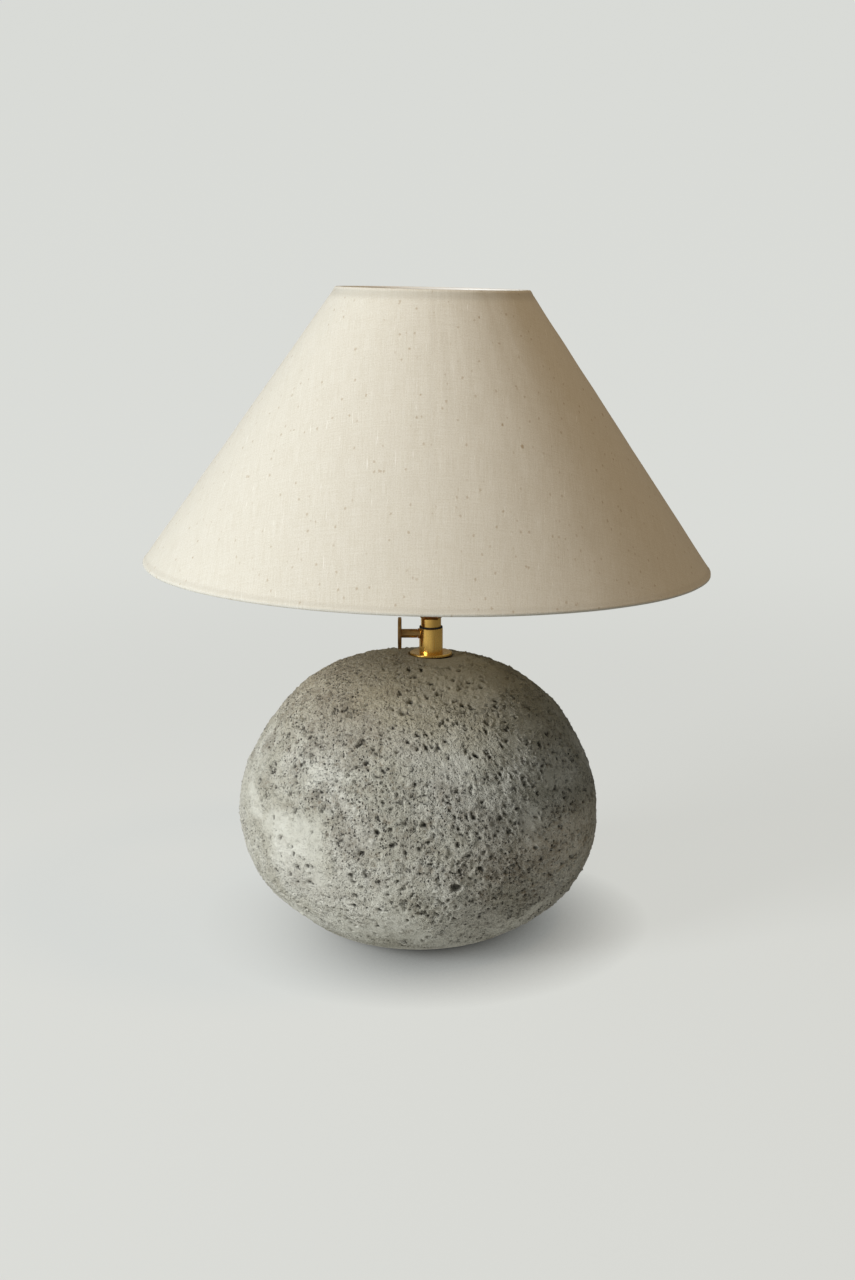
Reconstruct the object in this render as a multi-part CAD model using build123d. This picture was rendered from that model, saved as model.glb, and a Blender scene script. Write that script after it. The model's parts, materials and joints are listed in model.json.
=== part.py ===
from build123d import *
from math import cos, radians, tan
import os

# Table lamp: a hollowed stone base, a telescoping brass neck with a thumbscrew, a lamp holder with a
# harp, and a linen cone shade. Millimetres, +Z up. The origin is on the table, under the brass column.

# ---- stone base ----
belly_radius = 130.0      # the stone at its widest
belly_height = 82.0       # height of the widest place above the table
crown_height = 200.0      # top of the stone above the table
keel_depth = 95.0         # how far the lower curve would run below the belly if it weren't cut flat
crown_power = 2.2         # 2 is an ellipse, more is boxier
keel_power = 2.0
stone_offset = -9.2       # the stone's own middle, seen from the column
stone_wall = 34.0         # sides of the hollow
crown_wall = 40.0         # solid stone above the hollow, which the column is clamped through
floor_wall = 18.0         # solid stone under the hollow
hatch_radius = 40.0       # hole in the underside, for a hand and a spanner
plate_radius = 56.0       # cover plate over the hatch, let into the underside
plate_thickness = 3.0
felt_radius = 66.0
felt_thickness = 2.5
hatch_screw_count = 3
hatch_screw_radius = 1.9
hatch_screw_length = 14.0
plug_wall = 1.2           # nylon wall plug round each screw
fit_gap = 0.1             # between pieces that are only pushed together

# ---- cable inlet at the back ----
inlet_height = 32.0
inlet_bore = 3.5
bush_wall = 2.0
bush_length = 22.0
bush_flange_radius = 7.5
bush_flange_thickness = 2.5
bush_flange_room = 0.8    # between the bush's flange and the recess round it

# ---- column, neck and their clamp ----
neck_radius = 7.25
neck_wall = 1.2
slide_clearance = 0.1     # neck in column
column_wall = 1.1
column_above_stone = 17.7 # lip of the column above the flange
column_tail = 22.0        # column below the ceiling of the hollow
column_room = 0.5         # column in the stone's bore
gasket_thickness = 1.0
flange_radius = 15.2
flange_thickness = 1.5
gasket_inset = 1.0        # how far the gasket stays inside the flange's edge
lip_chamfer = 0.3
wiper_thickness = 1.0
wiper_inset = 0.15        # how far the wiper stays inside the column's outside
washer_radius = 16.0
washer_thickness = 1.6
nut_thickness = 8.0
nut_margin = 3.4          # nut's flats outside the column
neck_travel_up = 40.0
neck_travel_down = 3.5
neck_showing = 6.6        # neck between the wiper and the harp saddle
stop_gap = 0.5            # stop collar to the column's foot at full height
collar_height = 5.0
collar_margin = 0.7       # stop collar outside the column's bore

clamp_drop = 4.3          # thumbscrew's axis below the column's lip
thread_radius = 2.5
thread_clearance = 0.05
boss_radius = 3.6
boss_stand = 1.0          # boss outside the column
shank_radius = 3.2
shank_length = 11.5
disc_radius = 11.6
disc_thickness = 2.5
spigot_radius = 2.0       # end of the shank, riveted through the disc
pad_thickness = 1.0
pad_stem_radius = 1.1
pad_stem_length = 2.0
pad_gap = 0.2             # pad to neck when the clamp is just eased
clamp_pitch = 0.8
clamp_turns = 2.0

# ---- lamp holder, harp saddle and bulb ----
nipple_radius = 5.0
nipple_bore = 3.5
nipple_below = 12.0
nipple_above = 8.0
saddle_thickness = 1.2
saddle_width = 10.0
saddle_eye = 2.8          # ring of metal round the nipple's hole
saddle_flat = 11.5        # half of the flat under the holder
saddle_rise = 38.0        # degrees that the saddle's arms rise at
post_length = 9.0
lamp_cap_radius = 13.0    # screw cap of the bulb
screw_shell_clearance = 0.4
sheet_wall = 0.6          # spun and stamped brass
liner_wall = 0.8
liner_gap = 0.3           # between the holder's inner pieces
cap_dome_height = 13.0
cap_skirt = 6.0
holder_height = 42.0      # outer shell above the cap's dome
insulator_height = 16.0   # moulded body that carries the contacts
terminal_radius = 1.8
terminal_stand = 1.4
bulb_seat = 3.0           # bulb's tip above the moulded body
bulb_length = 105.0
bulb_radius = 30.0
bulb_neck_flare = 1.6     # glass neck outside its screw cap
bulb_sleeve = 4.0         # glass inside the cap
lamp_cap_step = 0.8       # thread of the cap outside its root
bulb_wall = 1.0
bulb_travel = 28.0
tip_height = 1.5
glass_insulator_height = 4.0
lamp_cap_height = 22.0
harp_wire = 1.6
harp_bulb_gap = 19.0      # harp's legs to the bulb
harp_head_gap = 8.8       # harp's top above a bulb that is lifted out of its thread
ferrule_radius = 3.4
ferrule_height = 12.0
ferrule_gap = 0.15
ferrule_travel = 8.0
ferrule_lift = 0.6        # ferrule's foot above the saddle's bend at rest

# ---- swivel, shade and finial ----
shade_lean = 1.2          # degrees that the shade leans from upright at rest
swivel_radius = 4.2
swivel_length = 13.0
swivel_clearance = 0.1
seat_rise = 6.0           # shade's seat above the harp's top wire
seat_radius = 7.0
seat_thickness = 2.0
stud_radius = 3.1
stud_length = 14.0
stud_clearance = 0.1
face_gap = 0.05           # between faces that turn on each other
spider_plate_radius = 12.0
spider_plate_thickness = 1.2
spider_wire = 1.5
spider_flat = 22.0        # radius where the arms turn up
spider_arms = 3
shade_drop = 48.0         # shade's top edge above its seat
shade_height = 191.2
shade_top_radius = 66.8
shade_bottom_radius = 200.0
cloth_thickness = 0.8
lining_thickness = 0.4
ring_wire = 1.4
hem_thickness = 0.5
finial_washer_radius = 8.0
finial_washer_thickness = 1.2
finial_base_radius = 7.0
finial_ball_radius = 6.4
finial_height = 22.0
finial_pitch = 0.94
finial_turns = 4.0

# ---- places, worked out from the sizes ----
column_bore = neck_radius + slide_clearance
column_radius = column_bore + column_wall
stone_bore = column_radius + column_room
ceiling = crown_height - crown_wall
wall_low = felt_thickness + floor_wall
stone_foot = felt_thickness


def stone_top_at(radius):
    """Height of the stone's surface at this distance from its own middle."""
    rise = crown_height - belly_height
    return belly_height + rise * (1 - (radius / belly_radius) ** crown_power) ** (1 / crown_power)


def stone_radius_at(height):
    """Radius of the stone below its belly, at this height."""
    depth = (belly_height - height) / keel_depth
    return belly_radius * (1 - depth ** keel_power) ** (1 / keel_power)


spot_radius = flange_radius + 1.0
spot_height = stone_top_at(abs(stone_offset) + spot_radius)
flange_foot = spot_height + gasket_thickness
column_lip = flange_foot + flange_thickness + column_above_stone
column_foot = ceiling - column_tail
neck_top = column_lip + wiper_thickness + neck_showing
collar_top = column_foot - neck_travel_up - stop_gap
neck_foot = collar_top - collar_height
clamp_height = column_lip - clamp_drop
boss_face = -(column_radius + boss_stand)
shank_start = boss_face - 2 * fit_gap
pad_face = -(neck_radius + pad_gap)
thread_tip = pad_face - pad_thickness - face_gap
disc_inner = shank_start - shank_length
inlet_seat = stone_radius_at(inlet_height - bush_flange_radius - bush_flange_room) - 1.0

saddle_top = neck_top + saddle_thickness
dome_top = saddle_top + cap_dome_height
holder_top = dome_top + holder_height
screw_shell_bore = lamp_cap_radius + screw_shell_clearance
screw_shell_radius = screw_shell_bore + sheet_wall
liner_bore = screw_shell_radius + liner_gap
liner_radius = liner_bore + liner_wall
holder_bore = liner_radius + fit_gap
holder_radius = holder_bore + sheet_wall
cap_bore = holder_radius + fit_gap
cap_radius = cap_bore + sheet_wall
body_foot = dome_top + sheet_wall
body_top = body_foot + insulator_height
bulb_tip_height = body_top + bulb_seat
bulb_top = bulb_tip_height + bulb_length
lamp_cap_foot = bulb_tip_height + tip_height + glass_insulator_height
lamp_cap_top = lamp_cap_foot + lamp_cap_height
harp_half = bulb_radius + harp_bulb_gap
pivot = bulb_top + bulb_travel + harp_head_gap + harp_wire
post_y = saddle_flat + (cap_radius + ferrule_radius + 4.0)
post_foot = neck_top + saddle_thickness / 2 + (post_y - saddle_flat) * tan(radians(saddle_rise))

edge_slope = (shade_bottom_radius - shade_top_radius) / shade_height
cone_angle = Vector(edge_slope, 1).get_angle(Vector(0, 1))
shade_top = seat_rise + shade_drop       # in the shade's own frame, which starts at the pivot
shade_foot = shade_top - shade_height


def cylinder(radius, low, high):
    return Pos(0, 0, low) * Cylinder(radius, high - low, align=(Align.CENTER, Align.CENTER, Align.MIN))


def tube(radius, bore, low, high):
    return cylinder(radius, low, high) - cylinder(bore, low, high)


def rod_x(radius, start, end, height):
    """A round bar along X, from start to end, at this height."""
    bar = Cylinder(radius, abs(end - start), align=(Align.CENTER, Align.CENTER, Align.MIN))
    return Pos(min(start, end), 0, height) * Rot(0, 90, 0) * bar


def rod_y(radius, start, end, height, x=0.0):
    """A round bar along Y, from start to end, at this height."""
    bar = Cylinder(radius, abs(end - start), align=(Align.CENTER, Align.CENTER, Align.MIN))
    return Pos(x, min(start, end), height) * Rot(-90, 0, 0) * bar


def turned(*edges):
    """A solid of revolution from a closed outline of (radius, height) edges."""
    outline = Curve() + list(edges)
    return revolve(make_face(Plane.XZ * outline), Axis.Z)


def turned_polygon(*points):
    return revolve(make_face(Plane.XZ * Polyline(*points, close=True)), Axis.Z)


def leaning(piece):
    """Takes a piece from the shade's own frame to its place on the harp."""
    return Pos(0, 0, pivot) * Rot(0, shade_lean, 0) * piece


def on_stone(piece):
    """Takes a piece from the stone's own middle to the column's frame."""
    return Pos(stone_offset, 0, 0) * piece


# ---- stone base ----
def egg(radius, rise, drop, low, steps=9):
    """A round stone's body: an upper and a lower curve that meet at the belly, cut flat at the height low."""
    quarter = [radians(90 * i / steps) for i in range(steps + 1)]
    upper = [(radius * cos(a) ** (2 / crown_power),
              belly_height + rise * cos(radians(90) - a) ** (2 / crown_power)) for a in quarter]
    upper[-1] = (0, belly_height + rise)
    drop_at_cut = (belly_height - low) / drop
    lower = []
    for i in range(steps):
        depth = drop_at_cut * (1 - i / steps)
        lower.append((radius * (1 - depth ** keel_power) ** (1 / keel_power), belly_height - depth * drop))
    side = Spline(*lower, *upper, tangents=[Vector(*lower[1]) - Vector(*lower[0]), (-1, 0)])
    foot = Polyline((0, belly_height + rise), (0, low), lower[0])
    return turned(side, foot)


def around_hatch(piece):
    """Copies of a piece at the hatch's screw holes."""
    circle = (hatch_radius + plate_radius) / 2
    return [on_stone(Rot(0, 0, 360 * i / hatch_screw_count + 90) * Pos(circle, 0, 0) * piece)
            for i in range(hatch_screw_count)]


def plug_radius():
    return hatch_screw_radius + plug_wall


def stone_base():
    outside = egg(belly_radius, crown_height - belly_height, keel_depth, stone_foot)
    hollow = egg(belly_radius - stone_wall, crown_height - crown_wall + 10 - belly_height,
                 belly_height - wall_low + 6, wall_low)
    hollow &= cylinder(belly_radius, wall_low, ceiling)
    stone = on_stone(outside - hollow)
    stone -= on_stone(cylinder(hatch_radius, stone_foot, wall_low))
    stone -= on_stone(cylinder(plate_radius + fit_gap, stone_foot, stone_foot + plate_thickness))
    for hole in around_hatch(cylinder(plug_radius(), stone_foot, plug_top())):
        stone -= hole
    stone -= cylinder(stone_bore, ceiling, crown_height)
    stone -= cylinder(spot_radius, spot_height, crown_height + 1)
    bush_hole = bush_radius() + fit_gap
    stone -= rod_y(bush_hole, belly_radius / 3, inlet_seat, inlet_height, stone_offset)
    recess = bush_flange_radius + bush_flange_room
    stone -= rod_y(recess, inlet_seat, belly_radius, inlet_height, stone_offset)
    return stone


def felt_pad():
    return on_stone(cylinder(felt_radius, 0, felt_thickness))


def plug_top():
    return stone_foot + plate_thickness + hatch_screw_length


def screw_head():
    """Countersunk head, flush with the plate's underside."""
    return Pos(0, 0, stone_foot) * Cone(2 * hatch_screw_radius, hatch_screw_radius, hatch_screw_radius,
                                        align=(Align.CENTER, Align.CENTER, Align.MIN))


def base_plate():
    low, high = stone_foot, stone_foot + plate_thickness
    plate = on_stone(cylinder(plate_radius, low, high))
    for hole in around_hatch(screw_head() + cylinder(hatch_screw_radius, low, high)):
        plate -= hole
    return plate


def base_screws():
    shaft = cylinder(hatch_screw_radius, stone_foot, plug_top() - plug_wall)
    return Compound(children=around_hatch(screw_head() + shaft))


def wall_plugs():
    low = stone_foot + plate_thickness
    plug = cylinder(plug_radius(), low, plug_top())
    plug -= cylinder(hatch_screw_radius, low, plug_top() - plug_wall)
    return Compound(children=around_hatch(plug))


def bush_radius():
    return inlet_bore + bush_wall


def cable_bush():
    end = inlet_seat + bush_flange_thickness
    bush = rod_y(bush_radius(), inlet_seat - bush_length, inlet_seat, inlet_height, stone_offset)
    flange = rod_y(bush_flange_radius, inlet_seat, end, inlet_height, stone_offset)
    rim = flange.edges().filter_by(GeomType.CIRCLE).sort_by(Axis.Y)[-1]
    bush += fillet(rim, bush_flange_thickness / 2)
    return bush - rod_y(inlet_bore, inlet_seat - bush_length, end, inlet_height, stone_offset)


# ---- column, held in the stone ----
def column_tube():
    column = tube(column_radius, column_bore, column_foot, column_lip)
    lip = column.edges().filter_by(GeomType.CIRCLE).group_by(Axis.Z)[-1].sort_by(SortBy.RADIUS)[-1]
    column = chamfer(lip, lip_chamfer)
    return column - rod_x(thread_radius + thread_clearance, 0, -column_radius - 1, clamp_height)


def seat_flange():
    top = flange_foot + flange_thickness
    flange = tube(flange_radius, column_radius, flange_foot, top)
    rim = flange.edges().filter_by(GeomType.CIRCLE).group_by(Axis.Z)[-1].sort_by(SortBy.RADIUS)[-1]
    return fillet(rim, flange_thickness / 2)


def seat_gasket():
    return tube(flange_radius - gasket_inset, column_radius + fit_gap, spot_height, flange_foot)


def lock_washer():
    return tube(washer_radius, column_radius + fit_gap, ceiling - washer_thickness, ceiling)


def lock_nut():
    top = ceiling - washer_thickness
    flats = column_radius + nut_margin
    hexagon = RegularPolygon(flats, 6, major_radius=False)
    nut = Pos(0, 0, top - nut_thickness) * extrude(hexagon, nut_thickness)
    return nut - cylinder(column_radius + fit_gap / 2, top - nut_thickness, top)


def wiper_ring():
    bore = neck_radius + slide_clearance / 2
    return tube(column_radius - wiper_inset, bore, column_lip, column_lip + wiper_thickness)


def clamp_boss():
    boss = rod_x(boss_radius, 0, boss_face, clamp_height)
    boss -= cylinder(column_radius, column_foot, column_lip)
    return boss - rod_x(thread_radius + thread_clearance, 0, boss_face, clamp_height)


# ---- clamp ----
def pressure_pad():
    pad = rod_x(thread_radius, pad_face, pad_face - pad_thickness, clamp_height)
    stem_end = pad_face - pad_thickness - pad_stem_length
    return pad + rod_x(pad_stem_radius, pad_face, stem_end, clamp_height)


def clamp_screw():
    screw = rod_x(thread_radius, thread_tip, shank_start, clamp_height)
    screw += rod_x(shank_radius, shank_start, disc_inner, clamp_height)
    screw += rod_x(spigot_radius, disc_inner, disc_inner - disc_thickness, clamp_height)
    socket_end = thread_tip - pad_stem_length - fit_gap
    return screw - rod_x(pad_stem_radius + fit_gap, thread_tip, socket_end, clamp_height)


def thumb_disc():
    disc = rod_x(disc_radius, disc_inner, disc_inner - disc_thickness, clamp_height)
    disc = fillet(disc.edges().filter_by(GeomType.CIRCLE), disc_thickness / 4)
    return disc - rod_x(spigot_radius, disc_inner, disc_inner - disc_thickness, clamp_height)


# ---- neck and lamp holder ----
def neck_tube():
    return tube(neck_radius, neck_radius - neck_wall, neck_foot, neck_top)


def stop_collar():
    return tube(column_bore + collar_margin, neck_radius, neck_foot, collar_top)


def neck_plug():
    return tube(neck_radius - neck_wall, nipple_radius, neck_top - nipple_below, neck_top)


def nipple():
    return tube(nipple_radius, nipple_bore, neck_top - nipple_below, saddle_top + nipple_above)


def harp_saddle():
    """A strip along Y with two arms that rise to the posts for the harp's feet."""
    middle = neck_top + saddle_thickness / 2
    post_end = post_foot + post_length
    half = [(saddle_flat, middle), (post_y, post_foot), (post_y, post_end)]
    path = [(-y, z) for y, z in reversed(half)] + half
    line = Plane.YZ * FilletPolyline(*path, radius=2 * saddle_thickness)
    section = Plane(line @ 0, x_dir=(1, 0, 0), z_dir=line % 0) * Rectangle(saddle_width, saddle_thickness)
    strip = sweep(section, line)
    narrow = saddle_width / 2 - harp_wire - 0.2
    for side in (-1, 1):
        for edge in (-1, 1):
            corner = Box(saddle_width, 4 * saddle_thickness, post_length,
                         align=(Align.MIN if edge > 0 else Align.MAX, Align.CENTER, Align.MIN))
            strip -= Pos(edge * (saddle_width / 2 - narrow), side * post_y, post_foot + 2.5) * corner
    strip += cylinder(nipple_radius + saddle_eye, neck_top, saddle_top)
    return strip - cylinder(nipple_radius + fit_gap, neck_top - 1, saddle_top + 1)


def socket_cap():
    """Spun brass dome on the saddle, with a straight skirt round the holder's shell."""
    root = neck_radius + 0.5
    rim = dome_top + cap_skirt
    outer = Bezier((root, saddle_top), (cap_radius * 0.8, saddle_top + 0.2 * cap_dome_height),
                   (cap_radius, saddle_top + 0.6 * cap_dome_height), (cap_radius, dome_top))
    inner = Bezier((cap_bore, dome_top), (cap_bore, saddle_top + sheet_wall + 0.6 * cap_dome_height),
                   (cap_bore * 0.78, saddle_top + 2 * sheet_wall + 0.2 * cap_dome_height),
                   (root, saddle_top + 2 * sheet_wall))
    side = Polyline((cap_radius, dome_top), (cap_radius, rim), (cap_bore, rim), (cap_bore, dome_top))
    throat = Polyline((root, saddle_top + 2 * sheet_wall), (nipple_radius, saddle_top + 2 * sheet_wall),
                      (nipple_radius, saddle_top), (root, saddle_top))
    return turned(outer, side, inner, throat)


def holder_shell():
    """Outer brass shell, with a bead near its rim."""
    bead = holder_top - 6.0
    low = dome_top + fit_gap
    outline = [(holder_bore, low), (holder_radius, low), (holder_radius, bead),
               (holder_radius + 0.7, bead + 0.8), (holder_radius + 0.7, bead + 1.8),
               (holder_radius, bead + 2.6), (holder_radius, holder_top),
               (holder_bore, holder_top)]
    return turned_polygon(*outline)


def holder_liner():
    return tube(liner_radius, liner_bore, body_foot, holder_top - 1.0)


def holder_body():
    """Moulded body that carries the contacts, bored for the leads."""
    body = tube(liner_bore - fit_gap, nipple_bore, body_foot, body_top)
    for side in (-1, 1):
        body -= Pos(0, side * liner_bore, body_foot) * Box(
            9, 9, insulator_height - 3, align=(Align.CENTER, Align.CENTER, Align.MIN))
    return body


def screw_shell():
    """Threaded lamp shell, its turns shown as rolled rings, on a floor that is fixed to the body."""
    low, high = body_top, holder_top - 2.0
    turns = 5
    start = low + 4.0
    pitch = (high - start) / turns
    swell = 0.5 * liner_gap
    outline = [(screw_shell_bore, low), (screw_shell_radius, low), (screw_shell_radius, start)]
    for i in range(turns):
        base = start + i * pitch
        outline += [(screw_shell_radius + swell, base + 0.35 * pitch),
                    (screw_shell_radius + swell, base + 0.65 * pitch), (screw_shell_radius, base + pitch)]
    outline.append((screw_shell_bore, high))
    floor = tube(screw_shell_bore, 8.0, low, low + sheet_wall)
    return turned_polygon(*outline) + floor


def centre_contact():
    """Spring tongue under the bulb's tip, bent up from the body."""
    low = body_top
    reach = bulb_seat - fit_gap
    path = FilletPolyline((6.5, low + 0.4), (-2.5, low + 0.4), (2.5, low + reach - 0.4),
                          (5.0, low + reach - 0.4), radius=1.0)
    line = Plane.XZ * path
    section = Plane(line @ 0, x_dir=(0, 1, 0), z_dir=line % 0) * Rectangle(5.0, 0.5)
    return sweep(section, line)


def terminal_screws():
    """Two cheese-head screws in the body's side pockets."""
    floor = liner_bore - 4.5
    height = body_foot + (insulator_height - 3) / 2
    screws = []
    for side in (-1, 1):
        head = rod_y(terminal_radius + 0.8, side * floor, side * (floor + terminal_stand), height)
        slot = Pos(0, side * (floor + terminal_stand), height) * Box(2 * terminal_radius + 4, 1.0, 0.7)
        screws.append(head - slot)
    return Compound(children=screws)


# ---- harp and its ferrules ----
def harp():
    """Bent wire in the YZ plane: feet in the ferrules, legs round the bulb, a straight top for the swivel."""
    foot = post_foot + post_length + 0.2
    shoulder = foot + 26.0
    waist = pivot - 60.0
    half = [(post_y, foot), (post_y, foot + 18.0), (harp_half, shoulder + 22.0), (harp_half, waist),
            (20.0, pivot)]
    path = half + [(-y, z) for y, z in reversed(half)]
    line = Plane.YZ * FilletPolyline(*path, radius=[12.0, 22.0, 40.0, 9.0, 9.0, 40.0, 22.0, 12.0])
    return sweep(Plane(line @ 0, z_dir=line % 0) * Circle(harp_wire), line)


def ferrule(side):
    """Sleeve that slides down over the joint of a harp foot and its saddle post."""
    low = post_foot + 2.5 + ferrule_lift
    hole = (harp_wire ** 2 + saddle_thickness ** 2 / 4) ** 0.5 + ferrule_gap + 0.4
    sleeve = tube(ferrule_radius, hole, low, low + ferrule_height)
    return Pos(0, side * post_y, 0) * sleeve


# ---- swivel, in the shade's frame ----
def swivel_stud():
    barrel = rod_y(swivel_radius, -swivel_length / 2, swivel_length / 2, 0)
    web = Box(1.6 * swivel_radius, swivel_length * 0.7, seat_rise,
              align=(Align.CENTER, Align.CENTER, Align.MIN))
    seat = cylinder(seat_radius, seat_rise - seat_thickness, seat_rise)
    stud = cylinder(stud_radius, seat_rise, seat_rise + stud_length)
    bore = rod_y(harp_wire + swivel_clearance, -swivel_length, swivel_length, 0)
    return leaning(barrel + web + seat + stud - bore)


# ---- shade ----
def cone_wall(outside, thickness, low, high):
    """A cone's wall: outside is how far its outer face lies inside the shade's outline."""
    slant = cos(radians(cone_angle))

    def face(height, inset):
        return shade_top_radius + (shade_top - height) * edge_slope - inset / slant

    return turned_polygon(
        (face(low, outside), low), (face(high, outside), high),
        (face(high, outside + thickness), high), (face(low, outside + thickness), low))


def shade_cloth():
    return leaning(cone_wall(0, cloth_thickness, shade_foot, shade_top))


def lining_margin():
    """Height that the hems take of the lining, at each end."""
    return 2 * (ring_wire + hem_thickness) + 1.0


def shade_lining():
    return leaning(cone_wall(cloth_thickness, lining_thickness,
                             shade_foot + lining_margin(), shade_top - lining_margin()))


def ring_centre(end_height, end_radius, up):
    """Centre of an end ring's wire, which lies in the fold of the hem, against the cloth."""
    roll = ring_wire + hem_thickness
    height = end_height + up * roll
    inward = (cloth_thickness + roll + fit_gap) / cos(radians(cone_angle))
    radius = end_radius - up * roll * edge_slope - inward
    return radius, height


def top_ring_centre():
    return ring_centre(shade_top, shade_top_radius, -1)


def bottom_ring_centre():
    return ring_centre(shade_foot, shade_bottom_radius, 1)


def wire_ring(centre):
    radius, height = centre
    return leaning(Pos(0, 0, height) * Torus(radius, ring_wire))


def roll_of_cloth(centre):
    radius, height = centre
    return Pos(0, 0, height) * (Torus(radius, ring_wire + hem_thickness) - Torus(radius, ring_wire))


def bottom_hem():
    """Cloth turned round the bottom ring."""
    return leaning(roll_of_cloth(bottom_ring_centre()))


def top_hem():
    """Cloth turned round the top ring, slit where the spider's arms reach the wire."""
    radius, height = top_ring_centre()
    roll = roll_of_cloth((radius, height))
    slit = Box(3 * ring_wire + 2 * hem_thickness, 2 * (spider_wire + fit_gap), 4 * ring_wire)
    slit = Pos(radius, 0, height) * slit
    for turn in arm_turns():
        roll -= Rot(0, 0, turn) * slit
    return leaning(roll)


def arm_turns():
    return [360 * i / spider_arms + 30 for i in range(spider_arms)]


def arms_of_spider(wire):
    """Wire arms from the plate up to the top ring's wire."""
    low = seat_rise + face_gap
    wire_height = low + spider_plate_thickness + spider_wire * 0.4
    ring_radius, ring_height = top_ring_centre()
    path = FilletPolyline((spider_plate_radius - 5.0, wire_height), (spider_flat, wire_height),
                          (ring_radius, ring_height), radius=8.0)
    line = Plane.XZ * path
    arm = sweep(Plane(line @ 0, z_dir=line % 0) * Circle(wire), line)
    return [Rot(0, 0, turn) * arm for turn in arm_turns()]


def shade_spider():
    """Plate with a hole for the stud, and the wire arms, soldered to the top ring."""
    low = seat_rise + face_gap
    plate = cylinder(spider_plate_radius, low, low + spider_plate_thickness)
    for arm in arms_of_spider(spider_wire):
        plate += arm
    ring_radius, ring_height = top_ring_centre()
    plate -= Pos(0, 0, ring_height) * Torus(ring_radius, ring_wire)
    plate -= cylinder(stud_radius + stud_clearance, low - 1, low + 2 * spider_wire + spider_plate_thickness)
    keep = plate.solids().sort_by(SortBy.VOLUME)[-1]
    return leaning(keep)


# ---- finial ----
def finial_foot():
    return seat_rise + 2 * face_gap + spider_plate_thickness + spider_wire * 1.4 + face_gap


def finial_washer():
    low = finial_foot()
    bore = stud_radius + stud_clearance
    return leaning(tube(finial_washer_radius, bore, low, low + finial_washer_thickness))


def finial():
    """Turned knob: a foot, a waist and a ball, bored for the stud."""
    low = finial_foot() + finial_washer_thickness + face_gap
    top = low + finial_height
    ball_centre = top - finial_ball_radius
    waist = 0.62 * finial_base_radius
    ball_start = ball_centre - 0.8 * finial_ball_radius
    side = Polyline((0, low), (finial_base_radius, low), (finial_base_radius, low + 2.5))
    cove = ThreePointArc((finial_base_radius, low + 2.5), (waist, (low + 2.5 + ball_start) / 2),
                         (0.6 * finial_ball_radius, ball_start))
    ball = ThreePointArc((0.6 * finial_ball_radius, ball_start), (finial_ball_radius, ball_centre), (0, top))
    axis = Line((0, top), (0, low))
    bore = seat_rise + stud_length + 2.0
    return leaning(turned(side, cove, ball, axis) - cylinder(stud_radius + fit_gap, low, bore))


# ---- bulb ----
def bulb_glass():
    """Hollow pear-shaped bulb that runs down into its screw cap."""
    centre = bulb_top - bulb_radius
    sleeve_radius = lamp_cap_radius - lamp_cap_step - sheet_wall
    neck_radius_outside = lamp_cap_radius + bulb_neck_flare

    def skin(inset):
        ball, neck, sleeve = bulb_radius - inset, neck_radius_outside - inset, sleeve_radius - inset
        foot, rim, shoulder = lamp_cap_top - bulb_sleeve, lamp_cap_top, lamp_cap_top + 2.5
        return turned(
            Line((0, foot), (sleeve, foot)),
            Line((sleeve, foot), (sleeve, rim)),
            Line((sleeve, rim), (neck, shoulder)),
            Bezier((neck, shoulder), (neck, shoulder + 11), (ball, centre - 22), (ball, centre)),
            CenterArc((0, centre), ball, 0, 90),
            Line((0, centre + ball), (0, foot)))

    return skin(0) - skin(bulb_wall)


def bulb_cap():
    """Screw cap, its thread shown as rolled rings."""
    turns = 5
    root = lamp_cap_radius - lamp_cap_step
    pitch = (lamp_cap_height - 5.0) / turns
    outline = [(root - sheet_wall, lamp_cap_foot), (root, lamp_cap_foot)]
    for i in range(turns):
        base = lamp_cap_foot + 1.0 + i * pitch
        outline += [(root, base), (lamp_cap_radius, base + 0.35 * pitch),
                    (lamp_cap_radius, base + 0.65 * pitch)]
    outline += [(root, lamp_cap_top - 4.0), (root, lamp_cap_top), (root - sheet_wall, lamp_cap_top)]
    return turned_polygon(*outline)


def bulb_insulator():
    low = bulb_tip_height + tip_height
    root = lamp_cap_radius - lamp_cap_step
    return turned_polygon((0, low), (5.5, low), (root, lamp_cap_foot), (0, lamp_cap_foot))


def bulb_tip():
    tip = cylinder(4.5, bulb_tip_height, bulb_tip_height + tip_height)
    return chamfer(tip.edges().filter_by(GeomType.CIRCLE).sort_by(Axis.Z)[0], tip_height / 2)


nodes = {
    "stone_base": stone_base,
    "felt_pad": felt_pad,
    "base_plate": base_plate,
    "base_screws": base_screws,
    "wall_plugs": wall_plugs,
    "cable_bush": cable_bush,
    "column_tube": column_tube,
    "seat_flange": seat_flange,
    "seat_gasket": seat_gasket,
    "lock_washer": lock_washer,
    "lock_nut": lock_nut,
    "wiper_ring": wiper_ring,
    "clamp_boss": clamp_boss,
    "pressure_pad": pressure_pad,
    "clamp_screw": clamp_screw,
    "thumb_disc": thumb_disc,
    "neck_tube": neck_tube,
    "stop_collar": stop_collar,
    "neck_plug": neck_plug,
    "nipple": nipple,
    "harp_saddle": harp_saddle,
    "socket_cap": socket_cap,
    "holder_shell": holder_shell,
    "holder_liner": holder_liner,
    "holder_body": holder_body,
    "screw_shell": screw_shell,
    "centre_contact": centre_contact,
    "terminal_screws": terminal_screws,
    "harp": harp,
    "ferrule_front": lambda: ferrule(-1),
    "ferrule_back": lambda: ferrule(1),
    "swivel_stud": swivel_stud,
    "shade_cloth": shade_cloth,
    "shade_lining": shade_lining,
    "top_ring": lambda: wire_ring(top_ring_centre()),
    "bottom_ring": lambda: wire_ring(bottom_ring_centre()),
    "top_hem": top_hem,
    "bottom_hem": bottom_hem,
    "shade_spider": shade_spider,
    "finial_washer": finial_washer,
    "finial": finial,
    "bulb_glass": bulb_glass,
    "bulb_cap": bulb_cap,
    "bulb_insulator": bulb_insulator,
    "bulb_tip": bulb_tip,
}

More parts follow.
